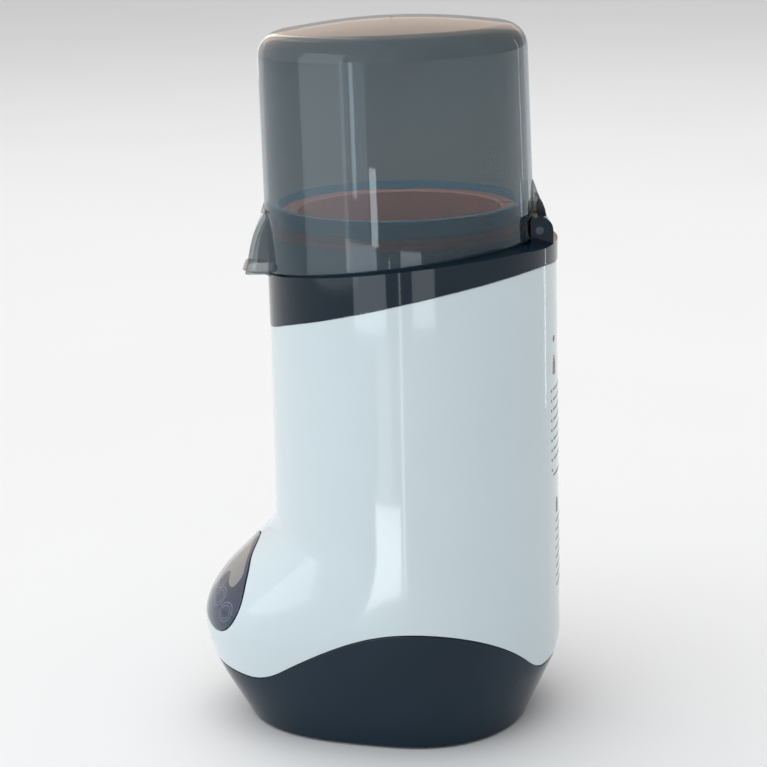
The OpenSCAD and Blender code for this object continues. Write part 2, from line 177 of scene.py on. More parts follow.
def smooth_loop(points, cuts):
    """A closed Catmull-Rom curve through the points."""
    out = []
    n = len(points)
    for i in range(n):
        p0, p1, p2, p3 = (np.array(points[(i + k) % n], float) for k in (-1, 0, 1, 2))
        for j in range(cuts):
            t = j / cuts
            q = 0.5 * (2 * p1 + (p2 - p0) * t + (2 * p0 - 5 * p1 + 4 * p2 - p3) * t * t
                       + (3 * p1 - p0 - 3 * p2 + p3) * t ** 3)
            out.append((float(q[0]), float(q[1])))
    return out


def mirrored(half):
    """The whole outline from its right half, anticlockwise from the bottom to the top."""
    left = [(-x, y) for x, y in half if x > 1e-6]
    return list(half) + left[::-1]


def flat_mesh(grid, loops, gap):
    """Triangles of a flat area with every loop kept as edges. Gives points and faces."""
    points = [p for p in grid if not any(near_loop(np.array(p), l, gap) for l in loops)]
    edges = []
    for l in loops:
        start = len(points)
        points += l
        edges += [(start + i, start + (i + 1) % len(l)) for i in range(len(l))]
    out = delaunay_2d_cdt([Vector(p) for p in points], edges, [], 0, 1e-6)
    return [tuple(p) for p in out[0]], [tuple(f) for f in out[2]]


def thick_sheet(points, faces, normals, wall, round_r, turns=3):
    """Gives verts, faces, normals and the source face of each face, for a sheet with a
    rounded rim and a back face, made from one sheet of points that faces outwards."""
    points = [Vector(p) for p in points]
    n = len(points)
    count = {}
    for f in faces:
        for i in range(len(f)):
            e = (f[i], f[(i + 1) % len(f)])
            count[frozenset(e)] = None if frozenset(e) in count else e
    rim = [e for e in count.values() if e]
    out_dir = {}
    for i, j in rim:
        d = (points[j] - points[i]).normalized()
        for k in (i, j):
            out_dir[k] = out_dir.get(k, Vector()) + d.cross(normals[k])
    verts, norms, index = list(points), list(normals), {}
    for k, d in out_dir.items():
        d = d.normalized()
        ring = [k]
        for t in range(1, turns + 1):
            a = math.pi / 2 * t / turns
            ring.append(len(verts))
            verts.append(points[k] + d * round_r * math.sin(a) - normals[k] * round_r * (1 - math.cos(a)))
            norms.append(Vector())
        index[k] = (ring, d)
    back = len(verts)
    for k in range(n):
        extra = index[k][1] * round_r if k in index else Vector()
        verts.append(points[k] + extra - normals[k] * wall)
        norms.append(Vector())
    out_faces = list(faces) + [tuple(back + i for i in reversed(f)) for f in faces]
    source = list(range(len(faces))) * 2
    for i, j in rim:
        a, b = index[i][0] + [back + i], index[j][0] + [back + j]
        for t in range(len(a) - 1):
            out_faces.append((a[t], a[t + 1], b[t + 1], b[t]))
            source.append(-1)
    return verts, out_faces, norms, source


# ---- Materials ----

def noise(tree, scale, detail=2.0, stretch=None):
    coord = tree.nodes.new("ShaderNodeTexCoord")
    tex = tree.nodes.new("ShaderNodeTexNoise")
    tex.inputs["Scale"].default_value = scale
    tex.inputs["Detail"].default_value = detail
    source = coord.outputs["Object"]
    if stretch:
        mapping = tree.nodes.new("ShaderNodeMapping")
        mapping.inputs["Scale"].default_value = stretch
        tree.links.new(source, mapping.inputs["Vector"])
        source = mapping.outputs["Vector"]
    tree.links.new(source, tex.inputs["Vector"])
    return tex.outputs["Fac"]


def spread(tree, value, low, high):
    m = tree.nodes.new("ShaderNodeMapRange")
    m.inputs["From Min"].default_value = 0.3
    m.inputs["From Max"].default_value = 0.7
    m.inputs["To Min"].default_value = low
    m.inputs["To Max"].default_value = high
    tree.links.new(value, m.inputs["Value"])
    return m.outputs["Result"]


def surface(name, colour, rough, metal=0.0, coat=0.0, vary=0.06, scale=60.0, bump=0.03,
            bump_scale=900.0, specular=0.5, stretch=None):
    """A moulded, cast or rolled surface: its colour drifts a little, its roughness varies
    and it has a fine texture in its bump."""
    m = bpy.data.materials.new(name)
    m.use_nodes = True
    t = m.node_tree
    b = t.nodes["Principled BSDF"]
    b.inputs["Metallic"].default_value = metal
    b.inputs["Coat Weight"].default_value = coat
    b.inputs["Coat Roughness"].default_value = 0.04
    b.inputs["Specular IOR Level"].default_value = specular
    drift = noise(t, scale, 3.0, stretch)
    mix = t.nodes.new("ShaderNodeMix")
    mix.data_type = "RGBA"
    mix.inputs["A"].default_value = [c * (1 - vary) for c in colour] + [1]
    mix.inputs["B"].default_value = [min(c * (1 + vary), 1) for c in colour] + [1]
    t.links.new(spread(t, drift, 0, 1), mix.inputs["Factor"])
    t.links.new(mix.outputs["Result"], b.inputs["Base Color"])
    fine = noise(t, bump_scale, 4.0, stretch)
    t.links.new(spread(t, noise(t, scale * 3, 4.0, stretch), rough * 0.8, rough * 1.25),
                b.inputs["Roughness"])
    bump_node = t.nodes.new("ShaderNodeBump")
    bump_node.inputs["Strength"].default_value = bump
    bump_node.inputs["Distance"].default_value = 0.0002
    t.links.new(fine, bump_node.inputs["Height"])
    t.links.new(bump_node.outputs["Normal"], b.inputs["Normal"])
    return m


def smoke_plastic(name):
    """Clear smoke-grey plastic: what is behind shows through a dark tint, a faint haze from
    handling lies on it, and it reflects more towards its edges."""
    m = bpy.data.materials.new(name)
    m.use_nodes = True
    t = m.node_tree
    t.nodes.clear()
    out = t.nodes.new("ShaderNodeOutputMaterial")
    clear = t.nodes.new("ShaderNodeBsdfTransparent")
    clear.inputs["Color"].default_value = (0.56, 0.57, 0.565, 1)
    haze = t.nodes.new("ShaderNodeBsdfDiffuse")
    haze.inputs["Color"].default_value = (0.20, 0.34, 0.44, 1)
    gloss = t.nodes.new("ShaderNodeBsdfGlossy")
    gloss.inputs["Color"].default_value = (0.9, 0.95, 1.0, 1)
    t.links.new(spread(t, noise(t, 30, 2.0), 0.02, 0.045), gloss.inputs["Roughness"])
    body = t.nodes.new("ShaderNodeMixShader")
    t.links.new(spread(t, noise(t, 12, 3.0), 0.06, 0.085), body.inputs["Fac"])
    t.links.new(clear.outputs[0], body.inputs[1])
    t.links.new(haze.outputs[0], body.inputs[2])
    edge = t.nodes.new("ShaderNodeLayerWeight")
    edge.inputs["Blend"].default_value = 0.5
    steep = t.nodes.new("ShaderNodeMath")
    steep.operation = "POWER"
    steep.inputs[1].default_value = 4.5
    t.links.new(edge.outputs["Facing"], steep.inputs[0])
    share = t.nodes.new("ShaderNodeMapRange")
    share.inputs["To Min"].default_value = 0.028
    share.inputs["To Max"].default_value = 0.72
    t.links.new(steep.outputs[0], share.inputs["Value"])
    top = t.nodes.new("ShaderNodeMixShader")
    t.links.new(share.outputs[0], top.inputs["Fac"])
    t.links.new(body.outputs[0], top.inputs[1])
    t.links.new(gloss.outputs[0], top.inputs[2])
    t.links.new(top.outputs[0], out.inputs["Surface"])
    return m


def collar_surface(name):
    """The collar's deep gloss; where it lies within about 47.6 mm of the well's axis, at the neck, it is
    coloured a lighter blue.
    """
    m = surface(name, (0.006, 0.017, 0.030), 0.07, coat=0.15, vary=0.12, scale=26, bump=0.02,
                bump_scale=600, specular=0.18)
    t = m.node_tree
    b = t.nodes["Principled BSDF"]
    coord = t.nodes.new("ShaderNodeTexCoord")
    from_axis = t.nodes.new("ShaderNodeVectorMath")
    from_axis.operation = "SUBTRACT"
    from_axis.inputs[1].default_value = (0, (AXIS_Y + WELL_Y) * MM, 0)
    t.links.new(coord.outputs["Object"], from_axis.inputs[0])
    flat = t.nodes.new("ShaderNodeVectorMath")
    flat.operation = "MULTIPLY"
    flat.inputs[1].default_value = (1, 1, 0)
    t.links.new(from_axis.outputs[0], flat.inputs[0])
    length = t.nodes.new("ShaderNodeVectorMath")
    length.operation = "LENGTH"
    t.links.new(flat.outputs[0], length.inputs[0])
    mask = t.nodes.new("ShaderNodeMapRange")
    mask.inputs["From Min"].default_value = 0.0474
    mask.inputs["From Max"].default_value = 0.0478
    mask.inputs["To Min"].default_value = 1
    mask.inputs["To Max"].default_value = 0
    t.links.new(length.outputs["Value"], mask.inputs["Value"])
    mix = t.nodes.new("ShaderNodeMix")
    mix.data_type = "RGBA"
    old = b.inputs["Base Color"].links[0].from_socket
    t.links.new(old, mix.inputs["A"])
    mix.inputs["B"].default_value = (0.11, 0.22, 0.31, 1)
    t.links.new(mask.outputs["Result"], mix.inputs["Factor"])
    t.links.new(mix.outputs["Result"], b.inputs["Base Color"])
    return m


white_plastic = surface("white_plastic", (0.66, 0.765, 0.80), 0.12, coat=0.3, vary=0.012,
                        scale=18, bump=0.015, bump_scale=500, specular=0.35)
navy_plastic = surface("navy_plastic", (0.007, 0.022, 0.038), 0.12, coat=0.12, vary=0.12,
                       scale=22, bump=0.02, bump_scale=600, specular=0.2)
collar_plastic = collar_surface("collar_plastic")
pin_steel = surface("pin_steel", (0.05, 0.07, 0.09), 0.3, metal=0.7, vary=0.15, scale=300)
panel_gloss = surface("panel_gloss", (0.006, 0.022, 0.062), 0.06, coat=0.6, vary=0.08,
                      scale=30, bump=0.01, bump_scale=700)
display_grey = surface("display_grey", (0.23, 0.235, 0.23), 0.16, coat=0.6, vary=0.05,
                       scale=50, bump=0.02, bump_scale=700)
ring_print = surface("ring_print", (0.13, 0.20, 0.29), 0.3, coat=0.5, vary=0.08, scale=120)
scale_print = surface("scale_print", (0.045, 0.065, 0.085), 0.35, coat=0.2, vary=0.15, scale=300)
hood_plastic = smoke_plastic("hood_plastic")
seal_rubber = surface("seal_rubber", (0.34, 0.115, 0.055), 0.42, vary=0.15, scale=70,
                      bump=0.1, bump_scale=1500)
basket_plastic = surface("basket_plastic", (0.36, 0.17, 0.135), 0.3, coat=0.2, vary=0.08,
                         scale=40, bump=0.05, bump_scale=800)
black_plastic = surface("black_plastic", (0.012, 0.014, 0.016), 0.3, vary=0.2, scale=60,
                        bump=0.1, bump_scale=1400)
foot_rubber = surface("foot_rubber", (0.02, 0.02, 0.021), 0.75, vary=0.25, scale=150,
                      bump=0.35, bump_scale=2200)
bare_steel = surface("bare_steel", (0.62, 0.63, 0.64), 0.22, metal=1.0, vary=0.06, scale=40,
                     bump=0.12, bump_scale=500, stretch=(1, 1, 12))
screw_steel = surface("screw_steel", (0.48, 0.48, 0.49), 0.32, metal=1.0, vary=0.12, scale=200,
                      bump=0.12, bump_scale=1500)
brass = surface("brass", (0.72, 0.50, 0.22), 0.25, metal=1.0, vary=0.1, scale=200)
aluminium = surface("aluminium", (0.68, 0.69, 0.70), 0.4, metal=1.0, vary=0.08, scale=80,
                    bump=0.25, bump_scale=1200)
board_green = surface("board_green", (0.014, 0.12, 0.045), 0.3, coat=0.5, vary=0.25, scale=260,
                      bump=0.2, bump_scale=900)
inner_grey = surface("inner_grey", (0.42, 0.43, 0.44), 0.45, vary=0.05, scale=60, bump=0.1)
blue_part = surface("blue_part", (0.02, 0.08, 0.30), 0.35, coat=0.2, vary=0.12, scale=120)
yellow_tape = surface("yellow_tape", (0.70, 0.50, 0.06), 0.4, coat=0.1, vary=0.12, scale=150)
dark_sleeve = surface("dark_sleeve", (0.02, 0.022, 0.03), 0.35, coat=0.2, vary=0.2, scale=150)
ceramic_white = surface("ceramic_white", (0.75, 0.72, 0.66), 0.5, vary=0.08, scale=150)
wire_red = surface("wire_red", (0.5, 0.03, 0.02), 0.4, coat=0.1, vary=0.15, scale=200)


# ---- Housing ----

def wrap_faces(points, faces, width, pole=None):
    """Joins the two ends of an unrolled area, and closes its top row into one point."""
    start = {round(v, 4): i for i, (u, v) in enumerate(points) if abs(u) < 1e-6}
    top = next((i for i, p in enumerate(points) if pole is not None and abs(p[1] - pole) < 1e-6), None)
    new = []
    for u, v in points:
        i = len(new)
        if pole is not None and abs(v - pole) < 1e-6:
            i = top
        elif abs(u - width) < 1e-6:
            i = start[round(v, 4)]
        new.append(i)
    out = []
    for f in faces:
        g = []
        for i in f:
            if new[i] not in g:
                g.append(new[i])
        if len(g) > 2:
            out.append(tuple(g))
    used = sorted({i for f in out for i in f})
    back = {old: i for i, old in enumerate(used)}
    return [points[i] for i in used], [tuple(back[i] for i in f) for f in out]


def centre_of(f, pts):
    return sum(pts[i][0] for i in f) / len(f), sum(pts[i][1] for i in f) / len(f)


def kept_part(pts, tris, keep):
    """The triangles whose centres keep() accepts, with only the points that they use."""
    tris = [f for f in tris if keep(centre_of(f, pts))]
    used = sorted({i for f in tris for i in f})
    index = {old: i for i, old in enumerate(used)}
    return [pts[i] for i in used], [tuple(index[i] for i in f) for f in tris]


def unrolled(width, height, columns, rows, loops=(), border=None, gap=0.7, pole=None):
    """A wrapped area of the given width and height; loops stay as edges."""
    grid = [(width * i / columns, height * j / rows) for i in range(columns + 1) for j in range(rows + 1)]
    rim = [(width * i / columns, 0.0) for i in range(columns + 1)]
    keep = list(loops) + ([border] if border else [])
    edge_points = set(rim) | {(width * i / columns, height * 1.0) for i in range(columns + 1)}
    free = [p for p in grid if p not in edge_points and 0 < p[0] < width]
    fixed = [p for p in grid if p in edge_points or not 0 < p[0] < width]
    free = [p for p in free if not any(near_loop(np.array(p), l, gap) for l in keep)]
    if border:
        inner = {(round(x, 6), round(y, 6)) for x, y in border}
        fixed = [p for p in fixed if (round(p[0], 6), round(p[1], 6)) not in inner]
        fixed = [p for p in fixed if not near_loop(np.array(p), border, 1e-4)
                 and inside(p, border)]
    points = free + fixed
    edges = []
    for l in keep:
        first = len(points)
        points += l
        edges += [(first + i, first + (i + 1) % len(l)) for i in range(len(l))]
    out = delaunay_2d_cdt([Vector(p) for p in points], edges, [], 0, 1e-5)
    return wrap_faces([tuple(p) for p in out[0]], [tuple(f) for f in out[2]], width, pole)


panel_half = [(0, 72.6), (4, 72), (8.2, 70.3), (13, 67.7), (18, 65.1), (22.2, 61.9),
              (25.6, 58.2), (27.8, 54), (28.3, 49.8), (27.4, 46), (25.2, 43.1), (22, 41.5),
              (18, 41.1), (13, 42), (7, 43.6), (0, 44.6)]
panel_outline = smooth_loop(mirrored(panel_half[::-1]), 5)

ROUND = 0.35         # rounding along the housing's edges
SHELL_WIDTH = 330.0
SHELL_HEIGHT = 135.0


def shell_span(a):
    return arch_at(a) + SEAM / 2 + ROUND, shell_top(a) - ROUND


def shell_uv(x, z):
    a = angle_for(x, z)
    low, high = shell_span(a)
    return SHELL_WIDTH * (a + math.pi) / (2 * math.pi), SHELL_HEIGHT * (z - low) / (high - low)


def shell_az(p):
    a = p[0] / SHELL_WIDTH * 2 * math.pi - math.pi
    low, high = shell_span(a)
    return a, low + (high - low) * p[1] / SHELL_HEIGHT


hole = [shell_uv(x, z) for x, z in grow(panel_outline, SEAM + ROUND)]
pts, tris = unrolled(SHELL_WIDTH, SHELL_HEIGHT, 156, 104, [hole])
pts, tris = kept_part(pts, tris, lambda c: not inside(c, hole))
az = [shell_az(p) for p in pts]
verts, faces, normals, _ = thick_sheet([skin(a, z) for a, z in az], tris,
                                       [skin_normal(a, z) for a, z in az], 2.5, ROUND)
shell = make_object("body_shell", verts, faces, [white_plastic], normals=normals)
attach(shell, "root")
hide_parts("outer_shell")

BASE_WIDTH = 310.0
BASE_HEIGHT = 34.0


def base_span(a):
    return GROUND_GAP + ROUND, arch_at(a) - SEAM / 2 - ROUND


def base_az(p):
    a = p[0] / BASE_WIDTH * 2 * math.pi
    low, high = base_span(a)
    return a, low + (high - low) * p[1] / BASE_HEIGHT


def base_v(z, a=math.pi):
    low, high = base_span(a)
    return BASE_HEIGHT * (z - low) / (high - low)


notch_half = BASE_WIDTH * math.asin(INLET_HALF / BASE_REAR_R) / (2 * math.pi)
notch_low = base_v(INLET_LOW)
columns = 150
middle = BASE_WIDTH / 2
edge_u = [BASE_WIDTH * i / columns for i in range(columns + 1)]
right_u = [u for u in edge_u if u > middle + notch_half + 0.8]
left_u = [u for u in edge_u if u < middle - notch_half - 0.8]
rows_v = [BASE_HEIGHT * j / 22 for j in range(23)]
across = [middle + notch_half * (1 - 2 * j / 12) for j in range(13)]
down = [BASE_HEIGHT + (notch_low - BASE_HEIGHT) * j / 10 for j in range(10)]
border = ([(u, 0.0) for u in edge_u] + [(BASE_WIDTH, v) for v in rows_v[1:]]
          + [(u, BASE_HEIGHT) for u in reversed(right_u[:-1])]
          + [(middle + notch_half, v) for v in down]
          + [(u, notch_low) for u in across]
          + [(middle - notch_half, v) for v in reversed(down)]
          + [(u, BASE_HEIGHT) for u in reversed(left_u)] + [(0.0, v) for v in reversed(rows_v[1:-1])])
pts, tris = unrolled(BASE_WIDTH, BASE_HEIGHT, columns, 22, border=border)
pts, tris = kept_part(pts, tris, lambda c: abs(c[0] - middle) >= notch_half or c[1] <= notch_low)
az = [base_az(p) for p in pts]
verts, faces, normals, _ = thick_sheet([skin(a, z) for a, z in az], tris,
                                       [skin_normal(a, z) for a, z in az], 2.4, ROUND)
base = make_object("base_skirt", verts, faces, [navy_plastic], normals=normals)
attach(base, "root")
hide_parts("base_shell")


# ---- Control panel: glossy window, display area and ringed touch areas ----

def panel_point(x, z):
    return skin(angle_for(x, z), z)


def touch_ring(x, z, r, count=48):
    """A circle lying on the panel, as a loop in the front view."""
    e = 0.2
    kx = 2 * e / (panel_point(x + e, z) - panel_point(x - e, z)).length
    kz = 2 * e / (panel_point(x, z + e) - panel_point(x, z - e)).length
    return [(x + r * kx * math.cos(2 * math.pi * i / count), z + r * kz * math.sin(2 * math.pi * i / count))
            for i in range(count)]


touch_places = [(s * x, z) for s in (1, -1) for x, z in ((23, 49.4), (15.3, 52.9), (8.8, 57.3))]
display_half = [(0, 52.5), (2.6, 52.6), (4.4, 53.8), (5.5, 56.4), (6.8, 59.4), (8.8, 60.7),
                (11, 60.4), (13.4, 59), (16.4, 57.9), (18.9, 57.9), (19.8, 59.2), (19.2, 62.1),
                (16.3, 64.3), (11.7, 66.7), (6.5, 69), (0, 70.3)]
display = smooth_loop(mirrored(display_half), 4)
rim = grow(panel_outline, -0.25)
rings = []
for x, z in touch_places:
    rings += [(touch_ring(x, z, 4.2), touch_ring(x, z, 3.9)),
              (touch_ring(x, z, 2.9), touch_ring(x, z, 2.66))]
loops = [rim, display] + [l for pair in rings for l in pair]
xs = [p[0] for p in rim]
zs = [p[1] for p in rim]
grid = [(min(xs) + 1.05 * i, min(zs) + 0.8 * j) for i in range(int((max(xs) - min(xs)) / 1.05) + 1)
        for j in range(int((max(zs) - min(zs)) / 0.8) + 1)]
grid = [p for p in grid if inside(p, rim)]
pts, tris = flat_mesh(grid, loops, 0.35)
tris = [f for f in tris if inside(centre_of(f, pts), rim)]
kinds = []
for f in tris:
    c = centre_of(f, pts)
    if any(inside(c, o) and not inside(c, i) for o, i in rings):
        kinds.append(2)
    else:
        kinds.append(1 if inside(c, display) else 0)
az = [(angle_for(x, z), z) for x, z in pts]
verts, faces, normals, source = thick_sheet([skin(a, z) for a, z in az], tris,
                                            [skin_normal(a, z) for a, z in az], 1.8, 0.25)
half = len(tris)
kinds = [kinds[s] if s >= 0 and i < half else 0 for i, s in enumerate(source)]
panel = make_object("touch_panel", verts, faces, [panel_gloss, display_grey, ring_print], kinds,
                    normals=normals)
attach(panel, "root")
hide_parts("control_panel")


# ---- Rear chart: printed lines and marks for the amount of milk, with no lettering ----

def rear_angle(x, z):
    a = math.pi
    for _ in range(8):
        a = math.pi - math.asin(x / skin_r(a, z))
    return a


chart_points, chart_faces = [], []


def chart_patch(x, z, width, height, cuts=1):
    """A printed rectangle about (x, z) on the back of the shell."""
    first = len(chart_points)
    for j in range(2):
        for i in range(cuts + 1):
            chart_points.append((x + width * (i / cuts - 0.5), z + height * (j - 0.5)))
    for i in range(cuts):
        k = first + i
        chart_faces.append((k + 1, k, k + cuts + 1, k + cuts + 2))


def chart_dot(x, z, r, count=24):
    first = len(chart_points)
    turns = [2 * math.pi * i / count for i in range(count)]
    chart_points.extend((x + r * math.cos(t), z + r * math.sin(t)) for t in turns)
    chart_faces.append(tuple(reversed(range(first, first + count))))


CHART_TOP = 133.3     # height of the upper scale's first line
CHART_STEP = 3.87
LOW_TOP = 80.6        # height of the lower scale's first line
LOW_STEP = 3.7
for x in (-17, 17):
    chart_dot(x, 152.6, 1.3)
    chart_patch(x, 141.6, 3.2, 5.2)
    chart_patch(x, 144.9, 2.2, 0.9)
    chart_patch(x, 146.0, 1.0, 0.8)
    for i in range(9):
        chart_dot(x + math.copysign(3.6, x), CHART_TOP - CHART_STEP * i, 0.55)
for i in range(8):
    chart_patch(0, CHART_TOP - CHART_STEP * i, 37.0, 0.62, 28)
chart_patch(0, 100.0, 38.0, 0.7, 28)
for x in (-14, 14):
    chart_patch(x, 86.0, 3.2, 4.6)
    chart_patch(x, 89.0, 2.2, 0.9)
for i in range(8):
    chart_patch(0, LOW_TOP - LOW_STEP * i, 33.0, 0.62, 24)
az = [(rear_angle(x, z), z) for x, z in chart_points]
verts, faces, _, _ = thick_sheet([skin(a, z, -0.06) for a, z in az], chart_faces,
                                       [skin_normal(a, z) for a, z in az], 0.08, 0.02, 1)
chart = make_object("rear_chart", verts, faces, [scale_print])
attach(chart, "root")


# ---- Hood ----

HOOD_R = 50.4
HOOD_TOP = 270.7
LEAN = math.radians(1.1)
CROWN_EDGE = 9.0
CROWN_RISE = 3.4
EDGE_Z = HOOD_TOP - CROWN_RISE - CROWN_EDGE


def lean(p):
    y, z = p[1] - WELL_Y, p[2] - LEAN_Z
    return Vector((p[0], WELL_Y + y * math.cos(LEAN) - z * math.sin(LEAN),
                   LEAN_Z + y * math.sin(LEAN) + z * math.cos(LEAN)))


def hood_profile(s):
    """(r, z) at distance s up the hood's outside from the crown's edge; below it s is negative."""
    r_edge = HOOD_R - 1.1
    arc = CROWN_EDGE * math.pi / 2
    flat = r_edge - CROWN_EDGE
    if s <= 0:
        return r_edge - s * 1.5 / 108.3, EDGE_Z + s
    if s <= arc:
        a = s / CROWN_EDGE
        return flat + CROWN_EDGE * math.cos(a), EDGE_Z + CROWN_EDGE * math.sin(a)
    t = min((s - arc) / flat, 1)
    return flat * (1 - t), EDGE_Z + CROWN_EDGE + CROWN_RISE * (1 - (1 - t) ** 2)


HOOD_SPAN = CROWN_EDGE * math.pi / 2 + HOOD_R - 1.1 - CROWN_EDGE
HOOD_WIDTH = 300.0
SKIRT = 80.0
HOOD_HEIGHT = SKIRT + HOOD_SPAN


def hood_point(a, s):
    r, z = hood_profile(s)
    return lean((r * math.sin(a), WELL_Y - r * math.cos(a), z))


def hood_bottom(a):
    s = -75.0
    for _ in range(8):
        p = hood_point(a, s)
        s += hood_low(p[1]) + ROUND - p[2]
    return s


def hood_as(p):
    a = p[0] / HOOD_WIDTH * 2 * math.pi
    if p[1] >= SKIRT:
        return a, p[1] - SKIRT
    return a, hood_bottom(a) * (1 - p[1] / SKIRT)


def hood_normal(a, s):
    e = 0.03
    if s > HOOD_SPAN - 0.1:
        return Vector((0, -math.sin(LEAN), math.cos(LEAN)))
    along = hood_point(a + e / 20, s) - hood_point(a - e / 20, s)
    up = hood_point(a, s + e) - hood_point(a, s - e)
    return along.cross(up).normalized()


def hood_v(z, a=math.pi):
    low = hood_bottom(a)
    s = -60.0
    for _ in range(8):
        s += z - hood_point(a, s)[2]
    return SKIRT * (1 - s / low)


def notch_edge(u):
    """Height up the unrolled hood of the edge of its cut-out round the hinge's ears."""
    a = u / HOOD_WIDTH * 2 * math.pi
    y = WELL_Y - HOOD_LOW_R * math.cos(a)
    return hood_v(HINGE[1] + math.sqrt(NOTCH_R ** 2 - (y - HINGE[0]) ** 2), a)


pin_half = HOOD_WIDTH * math.asin(NOTCH_HALF / HOOD_LOW_R) / (2 * math.pi)
columns = 160
middle = HOOD_WIDTH / 2
edge_u = [HOOD_WIDTH * i / columns for i in range(columns + 1)]
right_u = [u for u in edge_u if u > middle + pin_half + 0.8]
left_u = [u for u in edge_u if u < middle - pin_half - 0.8]
rows_v = [HOOD_HEIGHT * j / 74 for j in range(75)]
across = [middle - pin_half * (1 - 2 * j / 18) for j in range(19)]
across = [(u, notch_edge(u)) for u in across]
up = [across[0][1] * j / 6 for j in range(6)]
border = ([(u, 0.0) for u in left_u] + [(middle - pin_half, v) for v in up]
          + across + [(middle + pin_half, v) for v in reversed(up)]
          + [(u, 0.0) for u in right_u] + [(HOOD_WIDTH, v) for v in rows_v[1:]]
          + [(u, HOOD_HEIGHT) for u in reversed(edge_u[:-1])] + [(0.0, v) for v in reversed(rows_v[1:-1])])
pts, tris = unrolled(HOOD_WIDTH, HOOD_HEIGHT, columns, 74, border=border, pole=HOOD_HEIGHT)
notch = [(middle - pin_half, -1.0)] + across + [(middle + pin_half, -1.0)]
pts, tris = kept_part(pts, tris, lambda c: not inside(c, notch))
places = [hood_as(p) for p in pts]
hood_verts, hood_faces, hood_normals, _ = thick_sheet(
    [hood_point(a, s) for a, s in places], tris, [hood_normal(a, s) for a, s in places], 1.6, 0.45)
hood = make_object("smoke_hood", hood_verts, hood_faces, [hood_plastic], normals=hood_normals)

# The lifting tab at the front: a hollow scoop, open underneath.
tab_side = smooth_loop([(-54.0, 201.6), (-55.4, 199.6), (-57.2, 196.6), (-58.7, 193.5), (-60.0, 189.4),
                        (-61.2, 184), (-62.1, 178.95)], 4)[:24]
tab_rows = tab_side + [(-62.1, 178.95)]
tab_points, tab_faces, across_count = [], [], 0
for y_out, z in tab_rows:
    r, _ = hood_profile(z - EDGE_Z)
    row = []
    depth = max(WELL_Y - math.sqrt(r * r - 121) + 0.5 - y_out, 0.4)
    corner = min(2.4, depth * 0.8)
    for t in range(5):
        row.append((11.0, y_out + corner + (depth - corner) * (1 - t / 4)))
    for t in range(1, 7):
        a = math.pi / 2 * t / 6
        row.append((11 - corner + corner * math.cos(a), y_out + corner - corner * math.sin(a)))
    row += [((11 - corner) * (1 - t / 5), y_out) for t in range(1, 6)]
    row = row + [(-x, y) for x, y in reversed(row[:-1])]
    across_count = len(row)
    tab_points += [Vector((x, y, z)) for x, y in row]
for j in range(len(tab_rows) - 1):
    for i in range(across_count - 1):
        k = j * across_count + i
        tab_faces.append((k, k + 1, k + across_count + 1, k + across_count))
tab_mesh = bpy.data.meshes.new("tab_probe")
tab_mesh.from_pydata([tuple(p) for p in tab_points], [], tab_faces)
tab_normals = [Vector(v.normal) for v in tab_mesh.vertices]
if tab_normals[len(tab_normals) // 2].y > 0:
    tab_faces = [tuple(reversed(f)) for f in tab_faces]
    tab_normals = [-n for n in tab_normals]
bpy.data.meshes.remove(tab_mesh)
verts, faces, _, _ = thick_sheet(tab_points, tab_faces, tab_normals, 1.7, 0.4)
tab = make_object("hood_tab", verts, faces, [hood_plastic])


def bar(name, outline, half_x, material, bevel=0.5, segments=3):
    """A side-view outline of (y, z) points extruded to both sides, with rounded edges."""
    n = len(outline)
    verts = [(s * half_x, y, z) for s in (-1, 1) for y, z in outline]
    faces = [tuple(range(n)), tuple(reversed(range(n, 2 * n)))]
    faces += [(i, (i + 1) % n, n + (i + 1) % n, n + i) for i in range(n)]
    obj = make_object(name, verts, faces, [material])
    bm = bmesh.new()
    bm.from_mesh(obj.data)
    bmesh.ops.recalc_face_normals(bm, faces=bm.faces)
    edges = [e for e in bm.edges if e.calc_face_angle(0) > math.radians(28)]
    bmesh.ops.bevel(bm, geom=edges, offset=bevel * MM, segments=segments, affect="EDGES", profile=0.5)
    bm.to_mesh(obj.data)
    bm.free()
    for p in obj.data.polygons:
        p.use_smooth = True
    obj.data.set_sharp_from_angle(angle=math.radians(35))
    return obj


gusset = bar("hood_gusset", [(45.0, 210.4), (45.7, 208.6), (46.7, 205.6), (47.4, 204), (46.5, 203.4),
                             (46.2, 199), (45, 199)], 7, hood_plastic, 0.25)
for piece in (hood, tab, gusset):
    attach(piece, "lid")
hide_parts("hood")


# ---- Materials of the parts that stay as they come ----

by_material = [
    (collar_plastic, "collar"),
    (seal_rubber, "neck_seal cup_gasket"),
    (basket_plastic, "bottle_basket"),
    (black_plastic, "lid_hinge base_plate power_inlet panel_bracket relay buzzer"),
    (foot_rubber, "rubber_feet"),
    (bare_steel, "chamber_cup heat_shield heater_element"),
    (pin_steel, "hinge_pin"),
    (screw_steel, "base_screws stack_screws board_screws panel_screws touch_springs"),
    (brass, "inlet_pins ntc_sensor thermostat"),
    (aluminium, "heating_plate"),
    (board_green, "power_board control_board"),
    (inner_grey, "support_frame display_module"),
    (blue_part, "terminal_block film_capacitor"),
    (yellow_tape, "transformer"),
    (dark_sleeve, "electrolytic_capacitor"),
    (ceramic_white, "thermal_fuse panel_ribbon"),
    (wire_red, "heater_leads"),
]
for material, names in by_material:
    for name in names.split():
        data = nodes[name].data
        data.materials.clear()
        data.materials.append(material)


# ---- Stage, light and camera ----

def stage_floor():
    mesh = bpy.data.meshes.new("floor")
    s = 9.0
    mesh.from_pydata([(-s, -s, 0), (s, -s, 0), (s, s, 0), (-s, s, 0)], [], [(0, 1, 2, 3)])
    floor = bpy.data.objects.new("floor", mesh)
    bpy.context.scene.collection.objects.link(floor)
    mesh.materials.append(surface("floor_paint", (0.90, 0.90, 0.90), 0.7, vary=0.01, scale=3,
                                  bump=0.0, specular=0.0))


